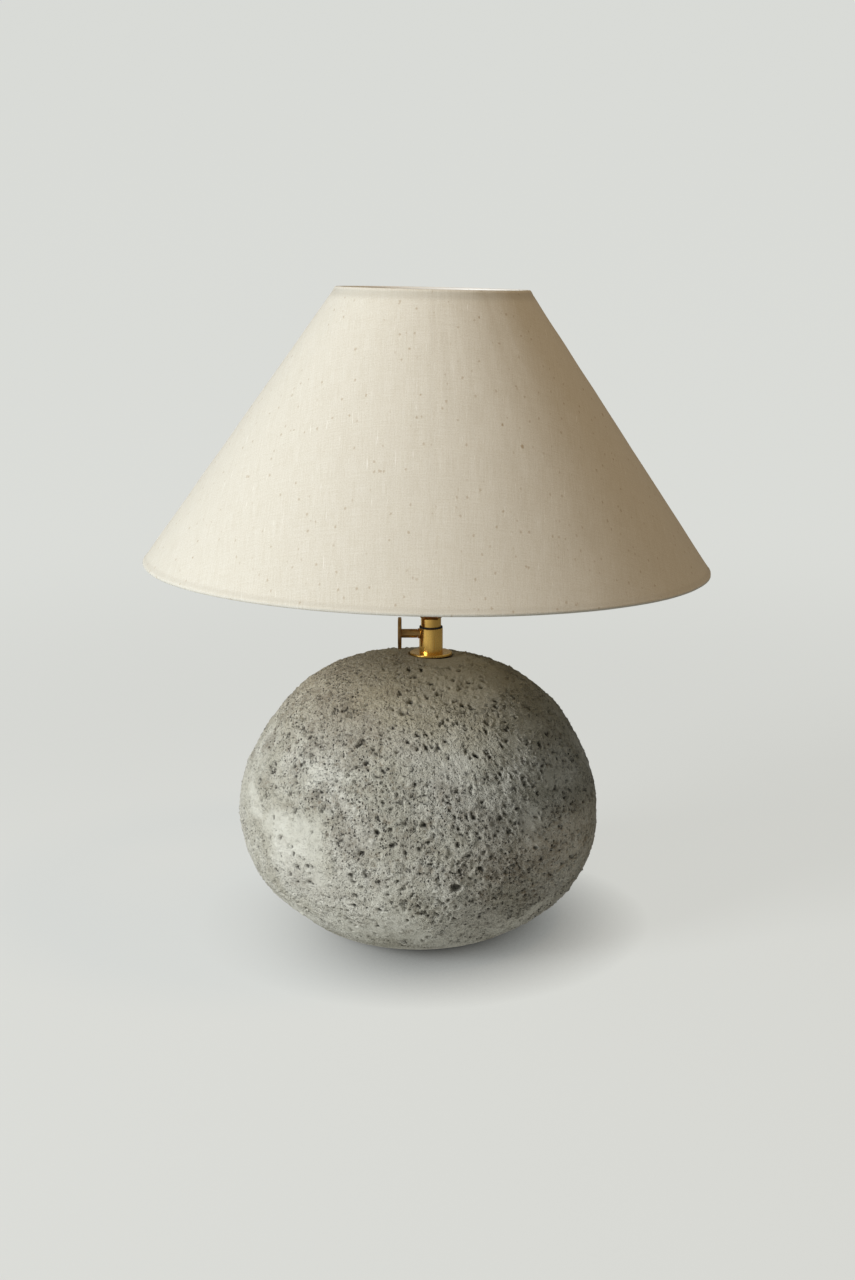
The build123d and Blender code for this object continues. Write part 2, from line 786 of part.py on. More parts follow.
os.makedirs("parts", exist_ok=True)
for name, make in nodes.items():
    export_step(make(), f"parts/{name}.step")
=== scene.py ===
import json
import math
import bpy
import bmesh
import numpy as np
from mathutils import Vector, Matrix, noise


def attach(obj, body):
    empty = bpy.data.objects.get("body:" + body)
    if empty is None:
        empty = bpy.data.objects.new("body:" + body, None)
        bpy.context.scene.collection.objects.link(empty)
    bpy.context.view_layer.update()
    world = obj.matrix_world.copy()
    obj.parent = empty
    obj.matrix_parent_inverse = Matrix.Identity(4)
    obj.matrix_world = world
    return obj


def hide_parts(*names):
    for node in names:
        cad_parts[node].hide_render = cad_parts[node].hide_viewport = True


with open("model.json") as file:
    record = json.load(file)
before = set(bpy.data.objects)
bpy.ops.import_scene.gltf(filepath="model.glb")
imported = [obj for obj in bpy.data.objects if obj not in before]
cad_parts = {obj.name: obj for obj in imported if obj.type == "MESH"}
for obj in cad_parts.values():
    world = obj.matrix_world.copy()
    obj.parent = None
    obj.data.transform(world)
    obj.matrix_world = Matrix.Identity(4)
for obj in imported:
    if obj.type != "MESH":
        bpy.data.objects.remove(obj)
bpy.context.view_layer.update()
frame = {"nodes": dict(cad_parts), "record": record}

nodes = frame["nodes"]
scene = bpy.context.scene
scene.view_settings.view_transform = "Standard"


def say(stage):
    print("lamp:", stage)


cameraSet = {"place": (-0.0025, -1.247, 0.4716), "downTilt": 11.87, "lens": 50.0,
             "sensor": 36.0, "near": 0.01}


def makeCamera():
    data = bpy.data.cameras.new("lampCamera")
    data.lens = cameraSet["lens"]
    data.sensor_width = cameraSet["sensor"]
    data.sensor_fit = "AUTO"
    data.clip_start = cameraSet["near"]
    camera = bpy.data.objects.new("lampCamera", data)
    camera.location = cameraSet["place"]
    camera.rotation_euler = (math.radians(90 - cameraSet["downTilt"]), 0, 0)
    scene.collection.objects.link(camera)
    scene.camera = camera


makeCamera()
say("camera stands")


class Wire:  # a value's socket in a node tree
    def __init__(self, tree, socket):
        self.tree, self.socket = tree, socket

    def maths(self, operation, *others, clamp=False):
        node = self.tree.add("ShaderNodeMath", {"operation": operation, "use_clamp": clamp},
                             dict(enumerate((self,) + others)))
        return Wire(self.tree, node.outputs[0])

    def __add__(self, other): return self.maths("ADD", other)
    def __radd__(self, other): return self.maths("ADD", other)
    def __sub__(self, other): return self.maths("SUBTRACT", other)
    def __rsub__(self, other): return self.tree.value(other).maths("SUBTRACT", self)
    def __mul__(self, other): return self.maths("MULTIPLY", other)
    def __rmul__(self, other): return self.maths("MULTIPLY", other)
    def __truediv__(self, other): return self.maths("DIVIDE", other)
    def __pow__(self, other): return self.maths("POWER", other)
    def sine(self): return self.maths("SINE")
    def size(self): return self.maths("ABSOLUTE")
    def held(self): return self.maths("ADD", 0.0, clamp=True)

    def between(self, low, high):  # 0 below low, 1 above high, smooth on the way
        node = self.tree.add("ShaderNodeMapRange", {"interpolation_type": "SMOOTHSTEP"},
                             {"Value": self, "From Min": low, "From Max": high})
        return Wire(self.tree, node.outputs[0])


class Finish:  # a material whose nodes are built by plain words
    def __init__(self, name, **shader):
        self.material = bpy.data.materials.new(name)
        self.material.use_nodes = True
        self.nodes, self.links = self.material.node_tree.nodes, self.material.node_tree.links
        self.shader = self.nodes["Principled BSDF"]
        for socket, amount in shader.items():
            self.shader.inputs[socket.replace("_", " ")].default_value = amount
        self.place = self.add("ShaderNodeTexCoord").outputs["Object"]

    def add(self, kind, settings=None, sockets=None):
        node = self.nodes.new(kind)
        for key, setting in (settings or {}).items():
            setattr(node, key, setting)
        for key, item in (sockets or {}).items():
            self.feed(node.inputs[key], item)
        return node

    def feed(self, socket, item):
        if isinstance(item, Wire):
            item = item.socket
        if isinstance(item, bpy.types.NodeSocket):
            self.links.new(item, socket)
        elif hasattr(item, "__len__") and len(socket.default_value) == 4 and len(item) == 3:
            socket.default_value = (*item, 1.0)
        else:
            socket.default_value = item

    def value(self, number):
        node = self.add("ShaderNodeMath", {"operation": "ADD"}, {0: number, 1: 0.0})
        return Wire(self, node.outputs[0])

    def noise(self, scale, detail=3.0, rough=0.55, place=None):
        node = self.add("ShaderNodeTexNoise", {}, {"Vector": place or self.place, "Scale": scale,
                                                  "Detail": detail, "Roughness": rough})
        return Wire(self, node.outputs[0])

    def cells(self, scale, place):  # the distance to the nearest seed, and a tone of its own for each
        node = self.add("ShaderNodeTexVoronoi", {}, {"Vector": place, "Scale": scale})
        return Wire(self, node.outputs["Distance"]), node.outputs["Color"]

    def stretched(self, amounts, place=None):
        node = self.add("ShaderNodeVectorMath", {"operation": "MULTIPLY"},
                        {0: place or self.place, 1: amounts})
        return node.outputs[0]

    def shifted(self, amounts, place=None):
        node = self.add("ShaderNodeVectorMath", {"operation": "ADD"}, {0: place or self.place, 1: amounts})
        return node.outputs[0]

    def mixed(self, factor, first, second):
        node = self.add("ShaderNodeMix", {"data_type": "RGBA"})
        self.feed(node.inputs[0], factor)
        self.feed(node.inputs[6], first)
        self.feed(node.inputs[7], second)
        return node.outputs[2]

    def painted(self, name):  # a value that the mesh carries
        node = self.add("ShaderNodeAttribute", {"attribute_name": name})
        return Wire(self, node.outputs["Fac"])

    def colour(self, item): self.feed(self.shader.inputs["Base Color"], item)
    def roughness(self, item): self.feed(self.shader.inputs["Roughness"], item)

    def relief(self, height, depth, strength):
        node = self.add("ShaderNodeBump", {}, {"Strength": strength, "Distance": depth, "Height": height})
        self.feed(self.shader.inputs["Normal"], node.outputs[0])


def brassFinish(name, bright, dull, shine, age, lay=(1, 1, 1)):
    f = Finish(name, Metallic=1.0)
    drawn = f.noise(900, 3, 0.6, f.stretched(lay))          # fine lines left by polishing
    cloud = f.noise(55, 4, 0.6)
    spots = f.noise(420, 4, 0.7).between(0.60, 0.74)
    patina = (cloud.between(0.42, 0.72) * age + spots * age * 0.5).held()
    tone = f.mixed(patina, bright, dull)
    f.colour(f.mixed(drawn.between(0.3, 0.8) * 0.14, tone, dull))
    f.roughness(shine + drawn * 0.12 + patina * 0.22)
    f.relief(drawn, 0.00002, 0.25)
    return f.material


def steelFinish(name, tone, shine):
    f = Finish(name, Metallic=1.0)
    drawn = f.noise(700, 3)
    cloud = f.noise(60, 3)
    f.colour(f.mixed(cloud.between(0.4, 0.7) * 0.3, tone, tuple(c * 0.7 for c in tone)))
    f.roughness(shine + drawn * 0.15 + cloud * 0.08)
    f.relief(drawn, 0.00002, 0.3)
    return f.material


def paintFinish(name, tone, shine, worn):
    f = Finish(name)
    peel = f.noise(1500, 2)
    rub = f.noise(90, 5, 0.7).between(0.62, 0.72)
    f.colour(f.mixed(rub * 0.6, tone, worn))
    f.roughness(shine + peel * 0.1 + rub * 0.15)
    f.relief(peel, 0.00003, 0.25)
    return f.material


def mouldedFinish(name, tone, shine, mottle=0.25):
    f = Finish(name)
    cloud = f.noise(140, 4)
    grain = f.noise(2400, 2)
    f.colour(f.mixed(cloud.between(0.35, 0.7) * mottle, tone, tuple(min(1, c * 1.7 + 0.01) for c in tone)))
    f.roughness(shine + grain * 0.15)
    f.relief(grain, 0.00004, 0.3)
    return f.material


def fibreFinish(name, tone):
    f = Finish(name)
    strands = f.noise(320, 5, 0.65, f.stretched((1, 1, 9)))
    f.colour(f.mixed(strands, tuple(c * 0.7 for c in tone), tone))
    f.roughness(0.8 + strands * 0.1)
    f.relief(strands, 0.0001, 0.4)
    return f.material


def feltFinish():
    f = Finish("feltPile", Sheen_Weight=0.4)
    pile = f.noise(1400, 5, 0.8)
    matted = f.noise(160, 4)
    worn = (pile * 0.6 + matted * 0.4).between(0.3, 0.7)
    f.colour(f.mixed(worn, (0.018, 0.020, 0.018), (0.085, 0.09, 0.08)))
    f.roughness(0.92 + pile * 0.06)
    f.relief(pile, 0.0004, 0.6)
    return f.material


def opalFinish():
    f = Finish("opalGlass", Coat_Weight=0.5, Coat_Roughness=0.06, IOR=1.5)
    cloud = f.noise(35, 3)
    f.colour(f.mixed(cloud.between(0.3, 0.7) * 0.4, (0.90, 0.90, 0.87), (0.84, 0.84, 0.80)))
    f.roughness(0.16 + cloud * 0.06)
    return f.material


# crown is painted shade and warm light reflected from the lampshade onto the stone's top
stoneLook = {"pale": (0.72, 0.70, 0.61), "mid": (0.51, 0.485, 0.395), "blue": (0.60, 0.595, 0.53),
             # the near-black colour for pits and pores is painted shade
             "crown": (0.35, 0.275, 0.155), "brown": (0.185, 0.145, 0.095), "hole": (0.020, 0.017, 0.013),
             "dust": (0.82, 0.80, 0.71), "crownShadeFrom": 0.135, "crownShadeFull": 0.198, "warp": 0.0030,
             "poreScale": 440, "prickScale": 900, "relief": 0.0022}


def stoneFinish():
    f = Finish("lavaStone", Specular_IOR_Level=0.3)
    pit, smooth, belt = f.painted("pit"), f.painted("smooth"), f.painted("belt")
    bent = f.add("ShaderNodeTexNoise", {}, {"Vector": f.place, "Scale": 210, "Detail": 3}).outputs[1]
    warped = f.shifted(f.stretched((stoneLook["warp"],) * 3, bent))     # keeps the pores from being round
    cloud, fine, speck = f.noise(22, 5, 0.62), f.noise(250, 6, 0.74), f.noise(780, 4, 0.75)
    crust = 1 - smooth * 0.85
    tone = f.mixed(cloud.between(0.36, 0.62), stoneLook["mid"], stoneLook["pale"])
    tone = f.mixed(smooth * 0.45, tone, stoneLook["blue"])
    height = Wire(f, f.add("ShaderNodeSeparateXYZ", {}, {0: f.place}).outputs[2])
    high = height.between(stoneLook["crownShadeFrom"], stoneLook["crownShadeFull"])
    # painted shade and warm reflected light under the lampshade: the top is mixed toward a darker brown with
    # height
    tone = f.mixed(high * 0.70, tone, stoneLook["crown"])
    tone = f.mixed(f.noise(11, 3).between(0.50, 0.70) * 0.35, tone, stoneLook["brown"])
    tone = f.mixed((1 - fine.between(0.32, 0.50)) * crust * (0.35 + belt * 0.45), tone, stoneLook["brown"])
    tone = f.mixed(belt * f.noise(46, 4, 0.7).between(0.40, 0.62) * 0.38, tone, stoneLook["brown"])
    tone = f.mixed(speck.between(0.55, 0.70) * 0.55 * crust, tone, stoneLook["dust"])
    tone = f.mixed((1 - speck.between(0.30, 0.44)) * 0.35, tone, stoneLook["brown"])
    pores, poreTone = f.cells(stoneLook["poreScale"], warped)
    pick = Wire(f, f.add("ShaderNodeSeparateColor", {}, {0: poreTone}).outputs[0])
    pore = (1 - pores.between(0.12, 0.40)) * pick.between(0.34, 0.50) * crust * (0.45 + belt * 0.55)
    pricks = f.cells(stoneLook["prickScale"], warped)[0]
    prick = (1 - pricks.between(0.14, 0.40)) * fine.between(0.36, 0.52) * (crust * 0.8 + 0.1)
    # painted shade: pores, pricks and the carved pits are coloured near black
    tone = f.mixed((pore * 0.78 + prick * 0.55).held(), tone, stoneLook["hole"])
    tone = f.mixed(pit.between(0.16, 0.95) * 0.9, tone, stoneLook["hole"])
    f.colour(tone)
    f.roughness(0.86 + fine * 0.12)
    skin = fine * (0.3 + crust * 0.7) + speck * 0.35 * crust
    f.relief(skin - pore * 0.75 - prick * 0.35, stoneLook["relief"], 1.0)
    return f.material


clothLook = {"thread": 0.00062, "pale": (0.668, 0.645, 0.570), "deep": (0.556, 0.518, 0.424),
             "fleck": (0.30, 0.20, 0.09), "slub": (0.86, 0.85, 0.79), "fleckScale": 68, "dotScale": 230,
             "sway": 0.0012, "fray": 0.0016}


def linenFinish(name, pale, deep, flecks=1.0, relief=0.0002):
    f = Finish(name, Sheen_Weight=0.15, Sheen_Roughness=0.5, Specular_IOR_Level=0.15)
    flat = f.add("ShaderNodeUVMap", {"uv_map": "flatCloth"}).outputs[0]
    sway = f.add("ShaderNodeTexNoise", {}, {"Vector": flat, "Scale": 90, "Detail": 2}).outputs[1]
    swayed = f.shifted(f.stretched((clothLook["sway"], clothLook["sway"], 0), sway), flat)
    split = f.add("ShaderNodeSeparateXYZ", {}, {0: swayed})
    across, along = Wire(f, split.outputs[0]), Wire(f, split.outputs[1])
    turn = math.pi / clothLook["thread"]
    warp, weft = (across * turn).sine().size(), (along * turn).sine().size()
    warpWhim = f.noise(1, 3, 0.6, f.stretched((1500, 55, 1), flat))   # each thread's own thickness
    weftWhim = f.noise(1, 3, 0.6, f.stretched((55, 1500, 1), flat))
    broad = f.noise(1, 3, 0.6, f.stretched((190, 14, 1), flat))
    threads = warp * (warpWhim * 0.8 + 0.35) * 0.5 + weft * (weftWhim * 0.8 + 0.35) * 0.5
    nap = f.noise(1, 4, 0.75, f.stretched((1300, 950, 1), flat))
    shade = (warpWhim * 0.24 + weftWhim * 0.18 + broad * 0.06 + nap * 0.52).between(0.38, 0.62)
    tone = f.mixed(shade, deep, pale)
    tone = f.mixed(threads.between(0.42, 0.10) * 0.18, tone, tuple(c * 0.72 for c in deep))
    slub = f.noise(1, 2, 0.5, f.stretched((900, 60, 1), f.shifted((3.1, 1.7, 0), flat))).between(0.68, 0.76)
    tone = f.mixed(slub * 0.55, tone, clothLook["slub"])
    frayed = f.add("ShaderNodeTexNoise", {}, {"Vector": flat, "Scale": 900, "Detail": 2}).outputs[1]
    spotted = f.shifted(f.stretched((clothLook["fray"], clothLook["fray"], 0), frayed), flat)
    spots, spotTone = f.cells(clothLook["fleckScale"], f.stretched((1.0, 0.72, 1), spotted))
    luck = f.add("ShaderNodeSeparateColor", {}, {0: spotTone})
    grown = Wire(f, luck.outputs[1]) * 0.9 + 0.35
    fleck = (1 - (spots / grown).between(0.035, 0.085)) * Wire(f, luck.outputs[0]).between(0.42, 0.52)
    dots, dotTone = f.cells(clothLook["dotScale"], f.stretched((1.0, 0.7, 1), spotted))
    dotPick = Wire(f, f.add("ShaderNodeSeparateColor", {}, {0: dotTone}).outputs[1])
    dot = (1 - dots.between(0.09, 0.24)) * dotPick.between(0.55, 0.75)
    tone = f.mixed(((fleck * 0.65 + dot * 0.42) * flecks).held(), tone, clothLook["fleck"])
    hemShade = f.painted("hemShade")                          # painted shade at the hems, where the folded cloth lets less light through
    tone = f.mixed(hemShade * 0.34, tone, tuple(c * 0.62 for c in deep))
    f.colour(tone)
    f.roughness(0.85 + threads * 0.1)
    f.relief(threads + slub * 0.5, relief, 0.6)
    return f.material


brassLight, brassDark = (1.0, 0.63, 0.17), (0.60, 0.32, 0.08)
finishes = {
    "satin_brass": brassFinish("satinBrass", brassLight, brassDark, 0.20, 0.30, (1, 1, 0.05)),
    "aged_brass": brassFinish("agedBrass", (0.56, 0.34, 0.13), (0.20, 0.11, 0.045), 0.30, 0.8),
    "contact_brass": brassFinish("contactBrass", (0.80, 0.62, 0.30), (0.50, 0.34, 0.14), 0.28, 0.3),
    "hatch_steel": paintFinish("blackPlate", (0.020, 0.020, 0.020), 0.48, (0.12, 0.12, 0.12)),
    "zinc_steel": steelFinish("zincSteel", (0.62, 0.62, 0.60), 0.30),
    "solder": steelFinish("solderTip", (0.50, 0.50, 0.52), 0.42),
    "lamp_cap": steelFinish("capMetal", (0.78, 0.78, 0.79), 0.22),
    "nylon": mouldedFinish("nylon", (0.52, 0.51, 0.47), 0.5),
    "black_rubber": mouldedFinish("blackRubber", (0.022, 0.022, 0.021), 0.72),
    "bakelite": mouldedFinish("bakelite", (0.030, 0.022, 0.016), 0.3, 0.5),
    "black_glass": mouldedFinish("capGlass", (0.02, 0.02, 0.025), 0.12),
    "card_liner": fibreFinish("fibreLiner", (0.52, 0.42, 0.28)),
    "ring_steel": paintFinish("whiteWire", (0.74, 0.73, 0.69), 0.42, (0.50, 0.48, 0.44)),
    "felt": feltFinish(), "opal_glass": opalFinish(), "stone": stoneFinish(),
    "linen": linenFinish("linen", clothLook["pale"], clothLook["deep"]),
    "lining": linenFinish("liningCloth", (0.86, 0.83, 0.74), (0.80, 0.76, 0.66), 0.0, 0.0001),
}
for part in frame["record"]["subparts"]:
    piece = nodes[part["node"]]
    piece.data.materials.clear()
    piece.data.materials.append(finishes[part["material_slot"]])
say("finishes mixed")


def newPiece(name, points, faces, body, slotName, *nodeNames):
    mesh = bpy.data.meshes.new(name)
    mesh.from_pydata([tuple(p) for p in points], [], faces)
    mesh.validate()
    mesh.update()
    mesh.shade_smooth()
    piece = bpy.data.objects.new(name, mesh)
    scene.collection.objects.link(piece)
    mesh.materials.append(finishes[slotName])
    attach(piece, body)
    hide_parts(*nodeNames)
    return piece


def ringFaces(around, count, closed=False):  # quads that join each outline of count points to the next
    faces = []
    for i in range(around):
        k = (i + 1) % around
        for j in range(count if closed else count - 1):
            m = (j + 1) % count
            faces.append((i * count + j, i * count + m, k * count + m, k * count + j))
    return faces


say("helpers ready")


stoneShape = {
    "belly": 0.130, "rise": 0.118, "drop": 0.095, "crownPower": 2.2, "keelPower": 2.0, "bellyAt": 0.082,
    "middle": -0.0092, "foot": 0.0025, "cells": 178, "upward": 1.15, "shrink": 0.0005, "rim": 0.24,
    "bend": 0.0019, "bendWide": 0.0045, "bendSeeds": (51.0, 62.0, 73.0),
    "rough": {  # how wide a feature is, its seed, its layers and how high it stands
        "lumps": (0.075, 2.0, 2, 0.0024), "dents": (0.021, 8.0, 2, 0.0012),
        "grain": (0.0038, 15.0, 3, 0.0012), "patches": (0.058, 31.0, 3, 1.0),
        "holes": (0.026, 44.0, 2, 0.9), "wander": (0.05, 57.0, 2, 0.012),
    },
    "belt": {"lean": 35.0, "rise": 0.100, "wide": 0.038},
    "still": {"footGap": 0.0005, "footFree": 0.014, "collar": (0.0185, 0.028), "collarAbove": 0.15,
              "inlet": (0.0095, 0.018)},
    "swells": (  # the way each swell or hollow faces, its height and how widely it spreads
        {"way": (-0.78, 0.0, 0.62), "rise": -0.0036, "spread": 0.36},
        {"way": (0.86, 0.0, -0.50), "rise": 0.0032, "spread": 0.36},
        {"way": (0.88, 0.0, 0.47), "rise": -0.0028, "spread": 0.34},
        {"way": (-0.86, 0.0, -0.50), "rise": -0.0044, "spread": 0.34},
        {"way": (-0.42, -0.10, 0.90), "rise": 0.0026, "spread": 0.30},
        {"way": (0.40, -0.10, 0.91), "rise": 0.0018, "spread": 0.26},
    ),
    "pits": (  # the shy ones keep out of the smooth patches
        {"cell": 0.0038, "small": 0.0010, "large": 0.0017, "depth": 0.0017, "share": 0.92,
         "seed": 3.0, "shy": True},
        {"cell": 0.0058, "small": 0.0012, "large": 0.0023, "depth": 0.0023, "share": 0.62,
         "seed": 11.0, "shy": True},
        {"cell": 0.0230, "small": 0.0020, "large": 0.0042, "depth": 0.0030, "share": 0.08,
         "seed": 29.0, "shy": False},
    ),
    "cuts": {"spotRadius": 0.0162, "spotAt": 0.198512, "spotTop": 0.21, "bore": 0.00895, "boreLow": 0.15,
             "boreTop": 0.2, "hollow": 0.096, "hollowAt": 0.085, "hollowRise": 0.084, "hollowSwell": 1.15,
             "ceiling": 0.160, "floor": 0.0205, "hatch": 0.040, "hatchOver": 0.004, "plate": 0.0561,
             "plateOver": 0.006, "plateDepth": 0.003, "inletAt": 0.032, "inletBore": 0.0056,
             "inletLow": 0.040, "inletTop": 0.105, "inletRecess": 0.0083, "inletSeat": 0.101642,
             "inletEnd": 0.130, "sides": 72, "rows": 40},
}


def cubeDirections(cells):  # even directions over a ball, as a cube's six grids
    corners = {}
    points, faces = [], []
    lines = [math.tan(math.pi / 4 * (2 * i / cells - 1)) for i in range(cells + 1)]
    sides = ((0, 1, 2, 1), (0, 1, 2, -1), (1, 2, 0, 1), (1, 2, 0, -1), (2, 0, 1, 1), (2, 0, 1, -1))
    for a, b, c, sign in sides:
        grid = []
        for i in range(cells + 1):
            row = []
            for j in range(cells + 1):
                spot = [0, 0, 0]
                spot[a], spot[b], spot[c] = lines[i], lines[j], float(sign)
                key = tuple(round(s, 7) for s in spot)
                if key not in corners:
                    corners[key] = len(points)
                    points.append(spot)
                row.append(corners[key])
            grid.append(row)
        for i in range(cells):
            for j in range(cells):
                quad = (grid[i][j], grid[i + 1][j], grid[i + 1][j + 1], grid[i][j + 1])
                faces.append(quad if sign > 0 else quad[::-1])
    ways = np.array(points)
    return ways / np.linalg.norm(ways, axis=1)[:, None], faces


def onStone(ways):  # points of the stone's outline along these directions
    s = stoneShape
    across, up = np.hypot(ways[:, 0], ways[:, 1]), ways[:, 2]
    crown = ((across / s["belly"]) ** s["crownPower"] + (np.abs(up) / s["rise"]) ** s["crownPower"]) ** (
        -1 / s["crownPower"])
    keel = ((across / s["belly"]) ** s["keelPower"] + (np.abs(up) / s["drop"]) ** s["keelPower"]) ** (
        -1 / s["keelPower"])
    reach = np.where(up >= 0, crown, keel)
    floor = s["bellyAt"] - s["foot"]
    reach = np.where(up < 0, np.minimum(reach, floor / np.maximum(-up, 1e-6)), reach)
    return ways * reach[:, None] + np.array([s["middle"], 0, s["bellyAt"]])


def easing(x, low, high):
    t = np.clip((x - low) / (high - low), 0, 1)
    return t * t * (3 - 2 * t)


def noiseAt(points, size, seed, layers):
    total, weight, share = np.zeros(len(points)), 0.0, 1.0
    for layer in range(layers):
        scale = 2 ** layer / size
        total += share * np.array([noise.noise(Vector(p)) for p in points * scale + seed + 5.3 * layer])
        weight += share
        share *= 0.5
    return total / weight


def roughAt(points, name):
    wide, seed, layers, high = stoneShape["rough"][name]
    return noiseAt(points, wide, seed, layers) * high


def pitsAt(points, pit, openness):  # how deep each point lies in a pit, 0 to 1, and how far up its rim
    deep, rim = np.zeros(len(points)), np.zeros(len(points))
    for i, p in enumerate(points / pit["cell"] + pit["seed"]):
        near, homes = noise.voronoi(Vector(p))
        home = homes[0]
        luck = noise.cell(home * 7.31 + Vector((pit["seed"], 1.7, 4.1)))
        grown = noise.cell(home * 3.17 + Vector((9.2, pit["seed"], 2.3)))
        if luck > pit["share"] * openness[i]:
            continue
        radius = (pit["small"] + (pit["large"] - pit["small"]) * grown * grown) / pit["cell"]
        wobble = 1 + 0.55 * noise.noise(Vector(p) * 2.2)
        reach = near[0] / (radius * wobble)
        if reach < 1:
            deep[i] = (1 - reach ** 2) ** 0.6 * (0.55 + 0.45 * abs(grown))
        elif reach < 1.7:
            rim[i] = math.sin(math.pi * (reach - 1) / 0.7)
    return deep, rim


def buildStone():
    s, still, b = stoneShape, stoneShape["still"], stoneShape["belt"]
    ways, faces = cubeDirections(s["cells"])
    points = onStone(ways)
    outward = ways * np.array([1, 1, s["upward"]])
    outward /= np.linalg.norm(outward, axis=1)[:, None]
    x, y, z = points[:, 0], points[:, 1], points[:, 2]
    fromColumn = np.hypot(x, y)
    under = easing(z, s["foot"] + still["footGap"], still["footFree"])     # nothing moves where it stands
    collar = easing(fromColumn, *still["collar"])                          # or at the flange's seat
    inletAway = np.sqrt((x - s["middle"]) ** 2 + (z - s["cuts"]["inletAt"]) ** 2)
    inlet = np.where(y > 0, easing(inletAway, *still["inlet"]), 1.0)
    calm = under * np.where(z > still["collarAbove"], collar, 1.0) * inlet
    shove = roughAt(points, "lumps")
    shove += roughAt(points, "dents")
    patch = roughAt(points * np.array([1, 1, 1.5]), "patches")
    lean = math.radians(b["lean"])
    offBelt = x * math.sin(lean) + (z - b["rise"]) * math.cos(lean) + roughAt(points, "wander")
    band = np.exp(-(offBelt / b["wide"]) ** 2)                             # a rougher belt crosses the stone
    smooth = easing(patch + 0.10 - 0.30 * band, 0.04, 0.34) * 0.9
    for swell in s["swells"]:
        way = np.array(swell["way"]) / np.linalg.norm(swell["way"])
        shove += swell["rise"] * np.exp((ways @ way - 1) / swell["spread"] ** 2 * 2)
    shove += roughAt(points, "grain") * (1 - 0.8 * smooth) * (0.5 + 0.8 * band)
    shove -= s["shrink"]
    bent = np.stack([noiseAt(points, s["bendWide"], seed, 1) for seed in s["bendSeeds"]], axis=1) * s["bend"]
    belt = easing(roughAt(points * np.array([1, 1, 1.8]), "holes") + 0.42 * band, 0.04, 0.46)
    pitted = np.zeros(len(points))
    for pit in s["pits"]:
        shyness = (1 - 0.92 * smooth) * (0.30 + 0.70 * belt)
        openness = shyness if pit["shy"] else np.ones(len(points)) * 0.9
        deep, rim = pitsAt(points + bent, pit, openness)
        shove += rim * pit["depth"] * s["rim"] - deep * pit["depth"]
        pitted = np.maximum(pitted, deep * calm)
    points = points + outward * (shove * calm)[:, None]
    stone = newPiece("stoneBody", points, faces, "base", "stone", "stone_base")
    for name, amounts in (("pit", pitted), ("smooth", smooth), ("belt", belt)):
        layer = stone.data.attributes.new(name, "FLOAT", "POINT")
        layer.data.foreach_set("value", amounts.astype(np.float32))
    return stone


def drum(bm, radius, low, high, place, turn):
    mat = Matrix.Translation(place) @ turn @ Matrix.Translation((0, 0, (low + high) / 2))
    bmesh.ops.create_cone(bm, cap_ends=True, segments=stoneShape["cuts"]["sides"], radius1=radius,
                          radius2=radius, depth=high - low, matrix=mat)


def hollowForm(bm):  # the room inside, flat at its floor and its ceiling
    c = stoneShape["cuts"]
    bmesh.ops.create_uvsphere(bm, u_segments=c["sides"], v_segments=c["rows"], radius=1.0)
    for v in bm.verts:
        flat = max(-1.0, min(1.0, v.co.z * c["hollowSwell"]))
        lift = c["hollowAt"] + flat * c["hollowRise"]
        v.co = (stoneShape["middle"] + v.co.x * c["hollow"], v.co.y * c["hollow"],
                max(c["floor"], min(c["ceiling"], lift)))


def cutStone(stone):
    c, middle, foot = stoneShape["cuts"], stoneShape["middle"], stoneShape["foot"]
    upward, backward = Matrix.Identity(4), Matrix.Rotation(-math.pi / 2, 4, "X")
    column, hatch, inlet = (0, 0, 0), (middle, 0, 0), (middle, 0, c["inletAt"])
    cuts = (
        (c["spotRadius"], c["spotAt"], c["spotTop"], column, upward),
        (c["bore"], c["boreLow"], c["boreTop"], column, upward),
        (c["hatch"], foot - c["hatchOver"], c["floor"] + c["hatchOver"], hatch, upward),
        (c["plate"], foot - c["plateOver"], foot + c["plateDepth"], hatch, upward),
        (c["inletBore"], c["inletLow"], c["inletTop"], inlet, backward),
        (c["inletRecess"], c["inletSeat"], c["inletEnd"], inlet, backward),
        None,                                                  # the hollow comes last
    )
    for cut in cuts:
        bm = bmesh.new()
        if cut:
            drum(bm, *cut)
        else:
            hollowForm(bm)
        mesh = bpy.data.meshes.new("stoneCutter")
        bm.to_mesh(mesh)
        bm.free()
        cutter = bpy.data.objects.new("stoneCutter", mesh)
        scene.collection.objects.link(cutter)
        chop = stone.modifiers.new("cut", "BOOLEAN")
        chop.operation, chop.solver, chop.object = "DIFFERENCE", "EXACT", cutter
        bpy.context.view_layer.update()
        whole = stone.evaluated_get(bpy.context.evaluated_depsgraph_get())
        result = bpy.data.meshes.new_from_object(whole)
        stone.modifiers.remove(chop)
        stone.data = result
        bpy.data.objects.remove(cutter)


stone = buildStone()
cutStone(stone)
stone.data.shade_smooth()
say(f"stone carved, {len(stone.data.polygons)} faces")


